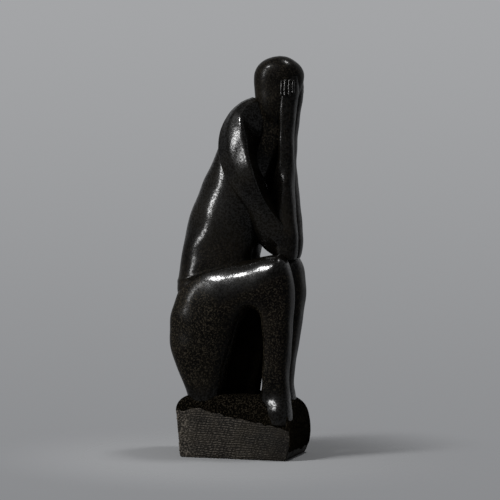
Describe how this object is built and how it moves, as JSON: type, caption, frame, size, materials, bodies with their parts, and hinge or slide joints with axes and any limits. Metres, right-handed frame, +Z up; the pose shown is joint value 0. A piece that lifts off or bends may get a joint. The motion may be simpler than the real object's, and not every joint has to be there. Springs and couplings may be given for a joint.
{
  "type": "thinker statue",
  "caption": "Carved dark stone figure seated in thought, elbows on knees and face in its hands, on a block with rough tooled sides. Free-standing table ornament.",
  "frame": {"origin": "middle of the block's flat underside", "axes": "+Z up through the figure, +X the way the figure faces, +Y towards its left side"},
  "size_m": [0.1321, 0.0882, 0.4],
  "materials": {
    "polished_stone": "waxed and polished",
    "rough_stone": "rough, tooled"
  },
  "bodies": {
    "root": {"base_block": "rough_stone", "base_top": "polished_stone", "leg_web": "polished_stone", "torso": "polished_stone", "neck": "polished_stone", "head": "polished_stone", "right_thigh": "polished_stone", "left_thigh": "polished_stone", "right_shin": "polished_stone", "left_shin": "polished_stone", "right_foot": "polished_stone", "left_foot": "polished_stone", "right_upper_arm": "polished_stone", "left_upper_arm": "polished_stone", "right_forearm": "polished_stone", "left_forearm": "polished_stone", "right_hand": "polished_stone", "left_hand": "polished_stone", "right_fingers": "polished_stone", "left_fingers": "polished_stone"}
  },
  "joints": []
}
